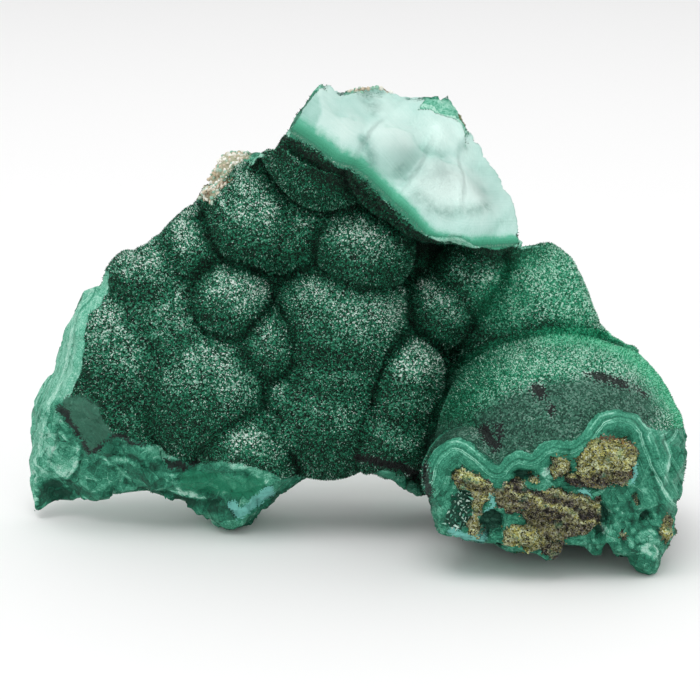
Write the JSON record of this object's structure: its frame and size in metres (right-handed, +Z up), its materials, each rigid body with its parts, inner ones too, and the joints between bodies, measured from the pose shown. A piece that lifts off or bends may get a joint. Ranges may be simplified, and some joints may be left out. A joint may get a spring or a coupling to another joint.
{
  "type": "malachite specimen",
  "caption": "Loose hand specimen of velvet malachite: a wall of dark green domes with a pale overhanging lip, a broken banded ball at one end and rough rock behind.",
  "frame": {"origin": "on the surface that the stone rests on, under the middle of its width and depth", "axes": "+X to the right along the wall of domes, towards the ball; +Y back into the rock; +Z up"},
  "size_m": [0.1338, 0.057, 0.0918],
  "materials": {
    "malachite": "matt velvet of tiny crystals on the domes, silky banded green and mint where broken, dull brown and yellow rock in the broken ball and at the back"
  },
  "bodies": {
    "root": {"malachite_specimen": "malachite"}
  },
  "joints": []
}
